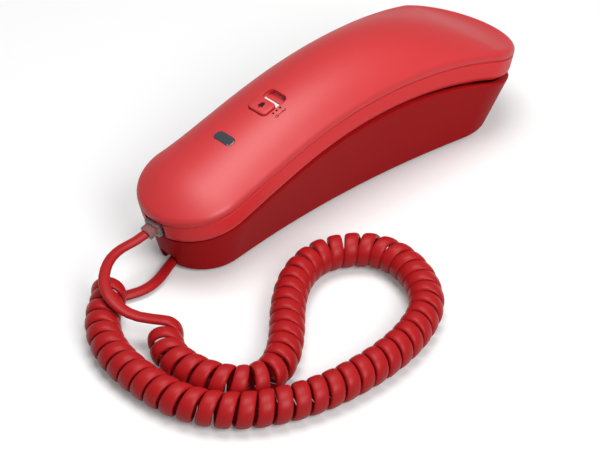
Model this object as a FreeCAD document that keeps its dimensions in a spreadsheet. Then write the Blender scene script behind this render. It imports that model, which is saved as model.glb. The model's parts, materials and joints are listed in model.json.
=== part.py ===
"""Corded landline phone: an arched handset lying face down on a low base, with a curly cord.

Millimetres. +Z is up, +Y runs along the phone to the earpiece end, and the origin is on the
surface under the middle of the phone. The line where handset and base meet is an arch: a
straight limb at the mouthpiece end and an arc over the rest. What belongs to the handset is
placed by the angle along that arch, with local Y along it and local Z out of it.
"""
import FreeCAD, Part
import Sketcher
import math
import os

# The arch between handset and base
arch_height = 38.6
arch_crest = 9.88
arch_radius = 200.0
near_angle = 14.0
far_angle = 18.0
near_limb = 40.0

# The handset's outline and section
near_radius = 25.0
waist_half_width = 24.0
far_radius = 30.5
parting_gap = 0.6
band_height = 11.4
corner_round = 4.0
shoulder_round = 4.2
near_crown = 10.0
middle_crown = 11.6
far_crown = 5.1
handset_wall = 2.2
seam_width = 0.7
seam_depth = 0.6

# The slabs that part the shells reach past the phone
slab_reach = 160.0
slab_top = 120.0

# The base's outline at the bottom and where its flared walls would reach at a level over the arch
foot_height = 1.0
base_near_radius = 19.0
base_far_radius = 25.2
base_near_shift = 0.3
base_far_shift = 6.2
base_waist_radius = 470.0
flare_height = 44.0
rim_near_radius = 29.1
rim_far_radius = 35.6
rim_far_lean = 12.0
rim_waist_radius = 430.0

# The lamp window on the handset's back
lamp_limb = 20.5
lamp_width = 10.6
lamp_length = 4.6
lamp_radius = 2.5
lens_round_share = 0.49
lamp_depth = 4.0
snug = 0.1
lamp_gap = 1.0

# The ringer switch
switch_angle = 12.7
switch_width = 11.0
knob_length = 8.0
knob_travel = 6.0
knob_proud = 0.6
slide_clearance = 0.4
switch_round = 2.5
switch_depth = 6.0
switch_sink = 3.2
switch_flange = 1.5

# The cord sockets
socket_width = 11.0
socket_height = 8.2
socket_length = 14.0
socket_wall = 0.8
plug_width = 7.6
plug_height = 6.2
plug_length = 14.0
plug_seat = 11.0
plug_clearance = 0.15
boot_share = 0.7
boot_length = 3.5
boot_root = 0.7
latch_width = 3.4
latch_thickness = 0.6
latch_overhang = 2.4
handset_socket_recess = 1.5

# The keypad
keypad_angle = 8.6
key_width = 10.4
key_length = 8.0
key_round = 2.4
key_column = 13.0
key_row = 12.0
key_proud = 1.0
key_travel = 1.2
key_clearance = 0.4
key_lip = 0.9
mat_thickness = 1.0
mat_side_margin = 2.0
mat_end_margin = 3.0
board_thickness = 1.6
handset_board_width = 40.0
handset_board_length = 68.0

# The ringer on the back of that board
ringer_radius = 9.0
ringer_height = 5.5

# Earpiece
speaker_radius = 14.0
speaker_height = 3.6
magnet_radius = 8.0
magnet_height = 3.0
gasket_thickness = 1.0
gasket_width = 3.4
dish_radius = 17.0
dish_depth = 1.0
grille_hole = 1.2
grille_pitch = 4.2

# Mouthpiece
mic_place = 3.0
mic_radius = 4.9
mic_height = 5.0
mic_stand_off = 1.0
boot_wall = 1.3
mic_slot_length = 7.0
mic_slot_width = 1.4
mic_slot_pitch = 3.0

# Screws that pull the two shells together, with a boss in each shell
screw_radius = 1.3
screw_head_radius = 2.7
screw_head_height = 1.8
screw_length = 8.0
boss_radius = 4.2
boss_split = 7.0
boss_top = 18.0
boss_floor = 1.8
boss_root = 0.5
boss_step = 1.0
near_boss_x = 14.0
near_boss_place = 9.0
far_boss_x = 15.5
far_boss_angle = -8.5
screw_clearance = 0.3

# Posts under the handset's board
post_radius = 1.8

# Base shell
base_wall = 2.4
base_bevel = 1.2
rim_width = 3.6
trough_depth = 5.0
pad_radius = 3.5
near_pad_x = 12.0
far_pad_x = 20.0
far_pad_place = -7.0

# Bottom cover
cover_thickness = 2.0
cover_clearance = 0.2
way_width = 12.0
way_height = 9.8
way_wall = 1.2
near_way_reach = 12.0
near_socket_inset = 5.0
far_way_reach = 19.5
far_socket_inset = 5.5
cord_gate_width = 9.0
cord_gate_height = 5.6

# Screws, feet and the wall-hanging keyholes of the cover
near_base_boss_x = 9.5
near_base_boss_inset = 31.0
far_base_boss_x = 13.0
far_base_boss_inset = 6.5
cover_seat = 2.2
boss_wall = 1.9
foot_radius = 3.4
foot_seat = 0.6
near_foot_x = 11.6
near_foot_inset = 5.0
far_foot_x = 15.0
far_foot_reach = 7.5
keyhole_pitch = 83.0
keyhole_middle = 9.5
keyhole_head = 4.2
keyhole_slot = 4.4
keyhole_run = 8.0

# Base electronics
line_socket_width = 13.0
line_mouth_width = 10.0
line_mouth_height = 6.6
line_mouth_depth = 12.0
base_board_width = 24.0
base_board_length = 74.0
base_board_middle = 17.0
base_board_level = 13.0
board_round = 1.5
weight_width = 18.0
weight_length = 44.0
weight_height = 4.0
weight_middle = 8.0

# Hook
hook_angle = -10.0
hook_width = 9.0
hook_length = 13.0
hook_round = 2.0
hook_foot = 2.0
hook_foot_lip = 2.0
hook_foot_level = 19.6
switch_body_width = 6.0
switch_body_length = 8.0
switch_body_height = 3.6
switch_nub = 1.2

# The hook's spring
spring_wire = 0.8
spring_radius = 6.0
spring_turns = 3.0
spring_clearance = 0.1

# The curly cord
cord_diameter = 4.0
curl_diameter = 14.8
curl_turns = 59.5
curl_rise = 0.1

Vector = FreeCAD.Vector
Placement = FreeCAD.Placement
Rotation = FreeCAD.Rotation

doc = FreeCAD.newDocument("corded_phone")
sheet = doc.addObject("Spreadsheet::Sheet", "sizes")


class Size:
    """A size that keeps its formula in the sheet's names, so that features can be bound to it."""

    def __init__(self, text, value):
        self.text = text
        self.value = value

    def joined(self, sign, other, value, swap=False):
        other_text = other.text if isinstance(other, Size) else repr(other)
        first, second = (other_text, self.text) if swap else (self.text, other_text)
        return Size(f"({first} {sign} {second})", value)

    def __add__(self, other):
        return self.joined("+", other, self.value + number(other))

    def __radd__(self, other):
        return self.joined("+", other, number(other) + self.value, swap=True)

    def __sub__(self, other):
        return self.joined("-", other, self.value - number(other))

    def __rsub__(self, other):
        return self.joined("-", other, number(other) - self.value, swap=True)

    def __mul__(self, other):
        return self.joined("*", other, self.value * number(other))

    def __rmul__(self, other):
        return self.joined("*", other, number(other) * self.value, swap=True)

    def __truediv__(self, other):
        return self.joined("/", other, self.value / number(other))

    def __neg__(self):
        return Size(f"(-1 * {self.text})", -self.value)


def number(size):
    return size.value if isinstance(size, Size) else float(size)


def sine(angle):
    return Size(f"sin({angle.text})", math.sin(math.radians(angle.value)))


def cosine(angle):
    return Size(f"cos({angle.text})", math.cos(math.radians(angle.value)))


def bound_sizes(plain):
    """Write each plain size to the sheet, and give it back as a Size bound to its cell."""
    bound = {}
    for row, (name, value) in enumerate(plain.items(), start=1):
        sheet.set(f"A{row}", name)
        sheet.set(f"B{row}", str(value))
        sheet.setAlias(f"B{row}", name)
        bound[name] = Size(f"sizes.{name}", value)
    return bound


globals().update(bound_sizes({name: value for name, value in globals().items() if isinstance(value,
                                                                                             float)}))
none = Size("0", 0.0)

# The base's round ends stand under the ends of the arch
near_end_run = near_limb * cosine(near_angle) + arch_radius * sine(near_angle) - arch_crest
base_near_centre = near_end_run - base_near_shift
base_far_centre = arch_crest + arch_radius * sine(far_angle) - base_far_shift
rim_far_centre = base_far_centre + rim_far_lean


def bind(item, property_name, size):
    if isinstance(size, Size):
        item.setExpression(property_name, size.text)
    else:
        setattr(item, property_name, size)


def new_body(name):
    body = doc.addObject("PartDesign::Body", name)
    body.Label = name
    return body


def new_sketch(body, name, role):
    sketch = body.newObject("Sketcher::SketchObject", name)
    support = next(item for item in body.Origin.OriginFeatures if item.Role == role)
    sketch.AttachmentSupport = (support, [""])
    sketch.MapMode = "FlatFace"
    return sketch


def dimension(sketch, kind, *where_and_size):
    """Add a dimension whose last argument is a Size and bind it to the sheet."""
    *where, size = where_and_size
    index = sketch.addConstraint(Sketcher.Constraint(kind, *where, number(size)))
    if isinstance(size, Size):
        sketch.setExpression(f"Constraints[{index}]", size.text)


def tie(sketch, kind, *where):
    sketch.addConstraint(Sketcher.Constraint(kind, *where))


def line(x0, y0, x1, y1):
    return Part.LineSegment(Vector(x0, y0, 0), Vector(x1, y1, 0))


def arc(x, y, radius, start, end):
    circle = Part.Circle(Vector(x, y, 0), Vector(0, 0, 1), radius)
    return Part.ArcOfCircle(circle, math.radians(start), math.radians(end))


def arch_point(angle, limb):
    """Y and Z on the arch at an angle, positive to the near side, then a limb further on."""
    along = arch_crest - arch_radius * sine(angle) - limb * cosine(angle)
    up = arch_height - arch_radius * (1 - cosine(angle)) - limb * sine(angle)
    return along, up


def half_section(body, name, angle, limb, half_width, crown, inset):
    """The right half of the handset's section, square to the arch, drawn in by the inset."""
    sketch = new_sketch(body, name, "XZ_Plane")
    along, up = arch_point(angle, limb)
    turn = Rotation(Vector(1, 0, 0), number(angle))
    sketch.AttachmentOffset = Placement(Vector(0, number(up), -number(along)), turn)
    sketch.setExpression("AttachmentOffset.Base.y", up.text)
    sketch.setExpression("AttachmentOffset.Base.z", (-along).text)
    sketch.setExpression("AttachmentOffset.Rotation.Angle", angle.text)

    side = half_width - inset
    face = parting_gap + inset
    corner = corner_round - inset
    shoulder = shoulder_round - inset
    top = band_height + crown - inset
    w, v, rc, rs = number(side), number(face), number(corner), number(shoulder)
    b, t = number(band_height), number(top)
    rise = t - b
    crown_radius = ((w - rs) ** 2 + rise ** 2 - rs ** 2) / (2 * (rise - rs))
    lean = math.degrees(math.atan2(crown_radius - rise, w - rs))

    sketch.addGeometry(line(0, v, w - rc, v))
    sketch.addGeometry(arc(w - rc, v + rc, rc, -90, 0))
    sketch.addGeometry(line(w, v + rc, w, b))
    sketch.addGeometry(arc(w - rs, b, rs, 0, lean))
    sketch.addGeometry(arc(0, t - crown_radius, crown_radius, lean, 90))
    sketch.addGeometry(line(0, t, 0, v))
    tie(sketch, "Tangent", 0, 2, 1, 1)
    tie(sketch, "Tangent", 1, 2, 2, 1)
    tie(sketch, "Tangent", 2, 2, 3, 1)
    tie(sketch, "Tangent", 3, 2, 4, 1)
    tie(sketch, "Coincident", 4, 2, 5, 1)
    tie(sketch, "Coincident", 5, 2, 0, 1)
    tie(sketch, "Horizontal", 0)
    tie(sketch, "Vertical", 2)
    tie(sketch, "PointOnObject", 0, 1, -2)
    tie(sketch, "PointOnObject", 4, 2, -2)
    tie(sketch, "PointOnObject", 4, 3, -2)
    dimension(sketch, "DistanceY", -1, 1, 0, 1, face)
    dimension(sketch, "DistanceX", -1, 1, 2, 1, side)
    dimension(sketch, "Radius", 1, corner)
    dimension(sketch, "DistanceY", -1, 1, 2, 2, band_height)
    dimension(sketch, "Radius", 3, shoulder)
    dimension(sketch, "DistanceY", -1, 1, 4, 2, top)
    return sketch


def handset_form(name, inset):
    """The whole handset, drawn in by the inset: half sections lofted along the arch, mirrored,
    with each end turned about its own axis."""
    body = new_body(name)
    total = near_angle + far_angle
    stations = [("near_end", near_angle, near_limb, near_radius, near_crown)]
    for label, angle in (("near_bend", near_angle), ("near_rise", near_angle * 0.5),
                         ("crest", near_angle * 0.0), ("far_fall", far_angle * -0.5),
                         ("far_end", -far_angle)):
        travelled = (near_angle - angle) / total
        half_width = waist_half_width + (far_radius - waist_half_width) * travelled * travelled
        if number(angle) >= 0:
            near_run = near_limb + arch_radius * near_angle * (math.pi / 180)
            share = arch_radius * angle * (math.pi / 180) / near_run
            crown = middle_crown - (middle_crown - near_crown) * share * share
        else:
            share = angle / far_angle
            crown = middle_crown - (middle_crown - far_crown) * share * share
        stations.append((label, angle, none, half_width, crown))
    sections = [half_section(body, f"{name}_{label}", angle, limb, half_width, crown, inset)
                for label, angle, limb, half_width, crown in stations]
    loft = body.newObject("PartDesign::AdditiveLoft", f"{name}_half")
    loft.Profile = sections[0]
    loft.Sections = sections[1:]
    mirrored = body.newObject("PartDesign::Mirrored", f"{name}_other_half")
    mirrored.Originals = [loft]
    mirrored.MirrorPlane = (next(f for f in body.Origin.OriginFeatures if f.Role == "YZ_Plane"), [""])
    body.Tip = mirrored
    for label, section, backwards in (("near_dome", sections[0], True), ("far_dome", sections[-1], False)):
        dome = body.newObject("PartDesign::Revolution", f"{name}_{label}")
        dome.Profile = section
        dome.ReferenceAxis = (section, ["V_Axis"])
        dome.Angle = 180
        dome.Reversed = backwards
    return body


def above_arch(name, height):
    """Everything higher than a line that runs along the arch at a height over it."""
    body = new_body(name)
    sketch = new_sketch(body, f"{name}_profile", "YZ_Plane")
    radius = arch_radius + height
    near_reach = radius * sine(near_angle)
    far_reach = radius * sine(far_angle)
    drop = arch_radius - arch_height
    r, c, d = number(radius), number(arch_crest), number(drop)
    reach, top = number(slab_reach), number(slab_top)
    a, b = math.radians(number(near_angle)), math.radians(number(far_angle))
    near_y, near_z = c - r * math.sin(a), r * math.cos(a) - d
    far_y, far_z = c + r * math.sin(b), r * math.cos(b) - d
    near_out = near_z - (near_y + reach) * math.tan(a)
    far_out = far_z - (reach - far_y) * math.tan(b)
    sketch.addGeometry(line(-reach, near_out, near_y, near_z))
    sketch.addGeometry(arc(c, -d, r, 90 - number(far_angle), 90 + number(near_angle)))
    sketch.addGeometry(line(far_y, far_z, reach, far_out))
    sketch.addGeometry(line(reach, far_out, reach, top))
    sketch.addGeometry(line(reach, top, -reach, top))
    sketch.addGeometry(line(-reach, top, -reach, near_out))
    tie(sketch, "Tangent", 0, 2, 1, 2)
    tie(sketch, "Tangent", 1, 1, 2, 1)
    for first, second in ((2, 3), (3, 4), (4, 5), (5, 0)):
        tie(sketch, "Coincident", first, 2, second, 1)
    tie(sketch, "Vertical", 3)
    tie(sketch, "Horizontal", 4)
    tie(sketch, "Vertical", 5)
    dimension(sketch, "DistanceX", -1, 1, 1, 3, arch_crest)
    dimension(sketch, "DistanceY", 1, 3, -1, 1, drop)
    dimension(sketch, "Radius", 1, radius)
    dimension(sketch, "DistanceX", 1, 2, 1, 3, near_reach)
    dimension(sketch, "DistanceX", 1, 3, 1, 1, far_reach)
    dimension(sketch, "DistanceX", 0, 1, -1, 1, slab_reach)
    dimension(sketch, "DistanceX", -1, 1, 2, 2, slab_reach)
    dimension(sketch, "DistanceY", -1, 1, 4, 1, slab_top)
    pad = body.newObject("PartDesign::Pad", f"{name}_pad")
    pad.Profile = sketch
    pad.SideType = "Symmetric"
    bind(pad, "Length", slab_reach)
    return body


def bone_sketch(body, name, level, near_r, near_y, far_r, far_y, waist_r):
    """Two round ends on the Y axis, joined by two hollow waist arcs that touch them."""
    sketch = new_sketch(body, name, "XY_Plane")
    sketch.AttachmentOffset = Placement(Vector(0, 0, number(level)), Rotation())
    sketch.setExpression("AttachmentOffset.Base.z", level.text)
    n, f, w = number(near_r), number(far_r), number(waist_r)
    yn, yf = -number(near_y), number(far_y)
    span = yf - yn
    run = ((n + w) ** 2 - (f + w) ** 2 + span ** 2) / (2 * span)
    x = math.sqrt((n + w) ** 2 - run ** 2)
    y = yn + run
    near_lean = math.degrees(math.atan2(run, x))
    far_lean = math.degrees(math.atan2(y - yf, x))
    sketch.addGeometry(arc(0, yn, n, 180 - near_lean, 360 + near_lean))
    sketch.addGeometry(arc(x, y, w, 180 + far_lean, 180 + near_lean))
    sketch.addGeometry(arc(0, yf, f, far_lean, 180 - far_lean))
    sketch.addGeometry(arc(-x, y, w, -near_lean, -far_lean))
    tie(sketch, "Tangent", 0, 2, 1, 2)
    tie(sketch, "Tangent", 1, 1, 2, 1)
    tie(sketch, "Tangent", 2, 2, 3, 2)
    tie(sketch, "Tangent", 3, 1, 0, 1)
    tie(sketch, "PointOnObject", 0, 3, -2)
    tie(sketch, "PointOnObject", 2, 3, -2)
    tie(sketch, "Equal", 1, 3)
    dimension(sketch, "Radius", 0, near_r)
    dimension(sketch, "Radius", 2, far_r)
    dimension(sketch, "Radius", 1, waist_r)
    dimension(sketch, "DistanceY", 0, 3, -1, 1, near_y)
    dimension(sketch, "DistanceY", -1, 1, 2, 3, far_y)
    return sketch


def base_form(name, inset, bevel=None):
    """The base's flared hull, drawn in by the inset, with an optional bevel round its lower edge."""
    body = new_body(name)
    low = foot_height
    levels = []
    if bevel:
        low = foot_height + bevel
        levels.append(("edge", foot_height, base_near_radius - bevel, base_far_radius - bevel,
                       base_far_centre,
                       base_waist_radius + bevel))
    levels.append(("low", low, base_near_radius - inset, base_far_radius - inset, base_far_centre,
                   base_waist_radius + inset))
    levels.append(("high", flare_height, rim_near_radius - inset, rim_far_radius - inset, rim_far_centre,
                   rim_waist_radius + inset))
    sections = [bone_sketch(body, f"{name}_{label}", level, near_r, base_near_centre, far_r, far_y, waist_r)
                for label, level, near_r, far_r, far_y, waist_r in levels]
    loft = body.newObject("PartDesign::AdditiveLoft", f"{name}_loft")
    loft.Profile = sections[0]
    loft.Sections = sections[1:]
    loft.Ruled = True
    return body


def frame_on_arch(angle, limb=0.0):
    """A place on the arch: local Y along it to the far end, local Z out of it."""
    turn = math.radians(number(angle))
    along = number(arch_crest) - number(arch_radius) * math.sin(turn) - number(limb) * math.cos(turn)
    up = number(arch_height) - number(arch_radius) * (1 - math.cos(turn)) - number(limb) * math.sin(turn)
    return Placement(Vector(0, along, up), Rotation(Vector(1, 0, 0), number(angle)))


def arch_level(y):
    """The arch's height over the surface at a distance along the phone."""
    bend = number(arch_crest) - number(arch_radius) * math.sin(math.radians(number(near_angle)))
    if y < bend:
        run = (bend - y) / math.cos(math.radians(number(near_angle)))
        return frame_on_arch(near_angle, run).Base.z
    lean = math.asin((number(arch_crest) - y) / number(arch_radius))
    return frame_on_arch(math.degrees(lean)).Base.z


def place(item, frame, x, y, z):
    item.Placement = frame * Placement(Vector(number(x), number(y), number(z)), Rotation())
    return item


def block(name, frame, width, length, height, x=0.0, y=0.0, z=0.0):
    """A box centred on x and y of a frame, standing on z."""
    item = doc.addObject("Part::Box", name)
    bind(item, "Length", width)
    bind(item, "Width", length)
    bind(item, "Height", height)
    return place(item, frame, number(x) - number(width) / 2, number(y) - number(length) / 2, z)


def pillar(name, frame, radius, height, x=0.0, y=0.0, z=0.0):
    """A cylinder along a frame's Z, standing on z."""
    item = doc.addObject("Part::Cylinder", name)
    bind(item, "Radius", radius)
    bind(item, "Height", height)
    return place(item, frame, x, y, z)


def ball(name, frame, radius, x=0.0, y=0.0, z=0.0):
    item = doc.addObject("Part::Sphere", name)
    bind(item, "Radius", radius)
    return place(item, frame, x, y, z)


def joined(name, *items):
    item = doc.addObject("Part::MultiFuse", name)
    item.Shapes = list(items)
    return item


def cut(name, base, *tools):
    item = doc.addObject("Part::Cut", name)
    item.Base = base
    item.Tool = tools[0] if len(tools) == 1 else joined(f"{name}_tools", *tools)
    return item


def common(name, first, second):
    item = doc.addObject("Part::Common", name)
    item.Base = first
    item.Tool = second
    return item


def group(name, *items):
    """Separate solids that share one node."""
    item = doc.addObject("Part::Compound", name)
    item.Links = list(items)
    return item


def tablet(name, frame, width, length, height, radius, x=0.0, y=0.0, z=0.0):
    """A block with round corners in plan: a sketch about its middle, padded up from z."""
    body = new_body(name)
    sketch = new_sketch(body, f"{name}_plan", "XY_Plane")
    w, d, r = number(width) / 2, number(length) / 2, number(radius)
    sketch.addGeometry(line(r - w, -d, w - r, -d))
    sketch.addGeometry(arc(w - r, r - d, r, -90, 0))
    sketch.addGeometry(line(w, r - d, w, d - r))
    sketch.addGeometry(arc(w - r, d - r, r, 0, 90))
    sketch.addGeometry(line(w - r, d, r - w, d))
    sketch.addGeometry(arc(r - w, d - r, r, 90, 180))
    sketch.addGeometry(line(-w, d - r, -w, r - d))
    sketch.addGeometry(arc(r - w, r - d, r, 180, 270))
    for edge in range(8):
        tie(sketch, "Tangent", edge, 2, (edge + 1) % 8, 1)
    for edge in (0, 4):
        tie(sketch, "Horizontal", edge)
        tie(sketch, "Vertical", edge + 2)
    for edge in (3, 5, 7):
        tie(sketch, "Equal", 1, edge)
    dimension(sketch, "Radius", 1, radius)
    dimension(sketch, "DistanceX", -1, 1, 2, 1, width / 2)
    dimension(sketch, "DistanceX", 6, 1, -1, 1, width / 2)
    dimension(sketch, "DistanceY", -1, 1, 4, 1, length / 2)
    dimension(sketch, "DistanceY", 0, 1, -1, 1, length / 2)
    pad = body.newObject("PartDesign::Pad", f"{name}_pad")
    pad.Profile = sketch
    bind(pad, "Length", height)
    return place(body, frame, x, y, z)


parts = {}


def keep(name, item):
    """Give a finished sub-part its own name."""
    item.Label = name
    parts[name] = item
    return item


# Handset shells
# The same form at three insets gives the outside, the seam's groove and the hollow. The seam is
# a line along the arch, so one cut over the whole length parts the back shell from the front.
ground = Placement()
near_frame = frame_on_arch(near_angle, near_limb)
far_frame = frame_on_arch(-far_angle)
handset_outer = handset_form("handset_outer", none)
handset_groove = handset_form("handset_groove", seam_depth)
handset_hollow = handset_form("handset_hollow", handset_wall)
above_seam = above_arch("above_seam", band_height)
above_groove = above_arch("above_groove", band_height - seam_width)

# The lamp window on the handset's back
lamp_frame = frame_on_arch(near_angle, lamp_limb)
lamp_top = band_height + near_crown
lens_round = lamp_length * lens_round_share
lens_blank = tablet("lens_blank", lamp_frame, lamp_width, lamp_length, lamp_depth + handset_wall,
                    lens_round,
                    z=lamp_top - lamp_depth + lamp_gap)
keep("lamp_lens", common("lamp_lens", lens_blank, handset_outer))
lens_hole = tablet("lens_hole", lamp_frame, lamp_width + 2 * snug, lamp_length + 2 * snug,
                   lamp_depth * 3, lens_round, z=lamp_top - lamp_depth)
lamp_seat = lamp_top - lamp_depth
lamp_stem = pillar("lamp_stem", lamp_frame, lamp_radius, lamp_depth,
                   z=lamp_seat - 2 * lamp_depth + lamp_gap)
lamp_tip = ball("lamp_tip", lamp_frame, lamp_radius, z=lamp_seat - lamp_depth + lamp_gap)
keep("lamp", joined("lamp", lamp_stem, lamp_tip))

# The ringer switch: a knob that slides along the handset in a round-cornered opening
switch_frame = frame_on_arch(switch_angle)
switch_top = band_height + middle_crown - (middle_crown - near_crown) * 0.25
slot_length = knob_length + knob_travel + 2 * slide_clearance
switch_hole = tablet("switch_hole", switch_frame, switch_width, slot_length, switch_depth * 2, switch_round,
                     z=switch_top - switch_depth)
keep("ringer_switch_body", tablet("ringer_switch_body", switch_frame, switch_width + 2 * switch_flange,
                                  slot_length + 2 * switch_flange, switch_depth, switch_round,
                                  z=switch_top - switch_sink - switch_depth))
knob_height = switch_sink + knob_proud - slide_clearance
knob_block = tablet("knob_block", switch_frame, switch_width - 2 * slide_clearance, knob_length,
                    knob_height,
                    switch_round - slide_clearance, y=-knob_travel / 2,
                    z=switch_top - switch_sink + slide_clearance)
knob_groove = block("knob_groove", switch_frame, switch_width, knob_length / 8, knob_proud,
                    y=-knob_travel / 2, z=switch_top + knob_proud / 2)
keep("ringer_knob", cut("ringer_knob", knob_block, knob_groove))

# The cord sockets: a shell with a square mouth, and the clear plug that sits in it
mouth_width = plug_width + 2 * plug_clearance
mouth_height = plug_height + 2 * plug_clearance


def cord_socket(name, frame, end, level):
    """A socket whose mouth faces back along its frame's Y from the end, standing on a level."""
    mouth_depth = plug_seat + plug_clearance
    shell = block(f"{name}_shell", frame, socket_width, socket_length, socket_height,
                  y=end + socket_length / 2, z=level)
    mouth = block(f"{name}_mouth", frame, mouth_width, mouth_depth, mouth_height,
                  y=end + mouth_depth / 2, z=level + socket_wall)
    notch = block(f"{name}_notch", frame, latch_width + 2 * plug_clearance, mouth_depth, socket_wall,
                  y=end + mouth_depth / 2, z=level)
    return keep(name, cut(name, shell, mouth, notch))


def cord_plug(name, frame, end, level):
    """A plug seated in that socket, with a boot for the cord and its spring latch under it."""
    front = end + plug_seat
    back = front - plug_length
    floor = level + socket_wall + plug_clearance
    body = block(f"{name}_body", frame, plug_width, plug_length, plug_height, y=(front + back) / 2, z=floor)
    boot = block(f"{name}_boot", frame, plug_width * boot_share, boot_length + boot_root,
                 plug_height * boot_share,
                 y=back + (boot_root - boot_length) / 2, z=floor + plug_height * (1 - boot_share) / 2)
    latch_length = plug_length - latch_overhang
    latch = block(f"{name}_latch", frame, latch_width, latch_length, latch_thickness,
                  y=front - latch_overhang - latch_length / 2, z=floor - latch_thickness)
    return keep(name, joined(name, body, boot, latch))


handset_socket_end = handset_socket_recess - near_radius
handset_socket_level = parting_gap + handset_wall + snug
cord_socket("handset_socket", near_frame, handset_socket_end, handset_socket_level)
cord_plug("handset_plug", near_frame, handset_socket_end, handset_socket_level)
socket_hole = block("socket_hole", near_frame, socket_width + 2 * snug, socket_length * 2,
                    socket_height + 2 * snug,
                    y=handset_socket_end, z=handset_socket_level - snug)

# The keypad: three columns and five rows of keys, square to a flat board behind them
key_frame = frame_on_arch(keypad_angle)
key_faces = above_arch("key_faces", parting_gap - key_proud)
lip_level = parting_gap + handset_wall + key_clearance
lip_top = lip_level + key_lip
mat_level = lip_top + key_travel + key_clearance
board_level = mat_level + mat_thickness
key_drop = 3 * key_proud + handset_wall * 2
key_names = (("flash", "redial", "mute"), ("star", "0", "hash"), ("7", "8", "9"), ("4", "5", "6"),
             ("1", "2", "3"))
key_holes = []
for row, names in enumerate(key_names):
    for column, name in enumerate(names):
        x = key_column * (1 - column)
        y = key_row * (row - 2)
        stem = tablet(f"key_{name}_stem", key_frame, key_width, key_length, lip_top + key_drop, key_round,
                      x=x, y=y, z=-key_drop)
        lip = tablet(f"key_{name}_lip", key_frame, key_width + 2 * key_lip, key_length + 2 * key_lip,
                     key_lip,
                     key_round, x=x, y=y, z=lip_level)
        face = common(f"key_{name}_face", stem, key_faces)
        keep(f"key_{name}", joined(f"key_{name}", face, lip))
        key_holes.append(tablet(f"key_{name}_hole", key_frame, key_width + 2 * key_clearance,
                                key_length + 2 * key_clearance, lip_level + key_drop, key_round,
                                x=x, y=y, z=-key_drop))
keep("keypad_mat", tablet("keypad_mat", key_frame, handset_board_width - 2 * mat_side_margin,
                          handset_board_length - 2 * mat_end_margin, mat_thickness, key_round, z=mat_level))
keep("handset_circuit_board", tablet("handset_circuit_board", key_frame, handset_board_width,
                                     handset_board_length,
                                     board_thickness, key_round, z=board_level))

# The ringer on the back of that board
keep("ringer", pillar("ringer", key_frame, ringer_radius, ringer_height, y=key_row,
                      z=board_level + board_thickness))

# Earpiece: a dished grille in the front shell, a foam ring and the loudspeaker
inner_face = parting_gap + handset_wall
gasket_disc = pillar("gasket_disc", far_frame, speaker_radius, gasket_thickness, z=inner_face)
gasket_bore = pillar("gasket_bore", far_frame, speaker_radius - gasket_width, gasket_thickness,
                     z=inner_face)
keep("earpiece_gasket", cut("earpiece_gasket", gasket_disc, gasket_bore))
speaker_level = inner_face + gasket_thickness
speaker_basket = pillar("speaker_basket", far_frame, speaker_radius, speaker_height, z=speaker_level)
speaker_magnet = pillar("speaker_magnet", far_frame, magnet_radius, magnet_height,
                        z=speaker_level + speaker_height)
keep("earpiece_speaker", joined("earpiece_speaker", speaker_basket, speaker_magnet))
dish_sphere = (dish_radius * dish_radius + dish_depth * dish_depth) / (2 * dish_depth)
ear_dish = ball("ear_dish", far_frame, dish_sphere, z=parting_gap + dish_depth - dish_sphere)
ear_holes = [pillar("ear_hole_middle", far_frame, grille_hole, inner_face * 2)]
for ring, count in ((1, 6), (2, 12)):
    for step in range(count):
        turn = 2 * math.pi * step / count
        ear_holes.append(pillar(f"ear_hole_{ring}_{step}", far_frame, grille_hole, inner_face * 2,
                                x=ring * number(grille_pitch) * math.cos(turn),
                                y=ring * number(grille_pitch) * math.sin(turn)))

# Mouthpiece: slots in the front shell, a rubber boot and the microphone
boot_disc = pillar("boot_disc", near_frame, mic_radius + boot_wall, mic_height, y=mic_place, z=inner_face)
boot_bore = pillar("boot_bore", near_frame, mic_radius, mic_height, y=mic_place, z=inner_face)
keep("microphone_boot", cut("microphone_boot", boot_disc, boot_bore))
keep("microphone", pillar("microphone", near_frame, mic_radius, mic_height, y=mic_place,
                          z=inner_face + mic_stand_off))
mic_slots = [block(f"mic_slot_{step}", near_frame, mic_slot_length, mic_slot_width, inner_face * 2,
                   y=mic_place + step * mic_slot_pitch) for step in (-1, 0, 1)]

# Screws that pull the two shells together, with a boss in each shell
boss_frame = frame_on_arch(far_boss_angle)
front_bosses = []
back_bosses = []
screw_holes = []
pilot_holes = []
handset_screws = []
for end, frame, place_x, place_y in (("near", near_frame, near_boss_x, near_boss_place),
                                     ("far", boss_frame, far_boss_x, none)):
    for side, sign in (("right", 1), ("left", -1)):
        spot = dict(x=sign * place_x, y=place_y)
        tag = f"{end}_{side}"
        seat = boss_split - boss_floor
        front_bosses.append(pillar(f"front_boss_{tag}", frame, boss_radius,
                                   boss_split - parting_gap - boss_root,
                                   z=parting_gap + boss_root, **spot))
        back_bosses.append(pillar(f"back_boss_{tag}", frame, boss_radius - boss_step,
                                  boss_top - boss_split - snug,
                                  z=boss_split + snug, **spot))
        screw_holes.append(pillar(f"screw_well_{tag}", frame, screw_head_radius + screw_clearance, seat,
                                  **spot))
        screw_holes.append(pillar(f"screw_hole_{tag}", frame, screw_radius + screw_clearance,
                                  boss_split * 2, **spot))
        pilot_holes.append(pillar(f"pilot_{tag}", frame, screw_radius + snug, screw_length,
                                  z=boss_split - boss_step,
                                  **spot))
        head = pillar(f"screw_head_{tag}", frame, screw_head_radius, screw_head_height,
                      z=seat - screw_head_height, **spot)
        shank = pillar(f"screw_shank_{tag}", frame, screw_radius, screw_length, z=seat, **spot)
        handset_screws.append(joined(f"handset_screw_{tag}", head, shank))
keep("handset_screws", group("handset_screws", *handset_screws))

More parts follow.
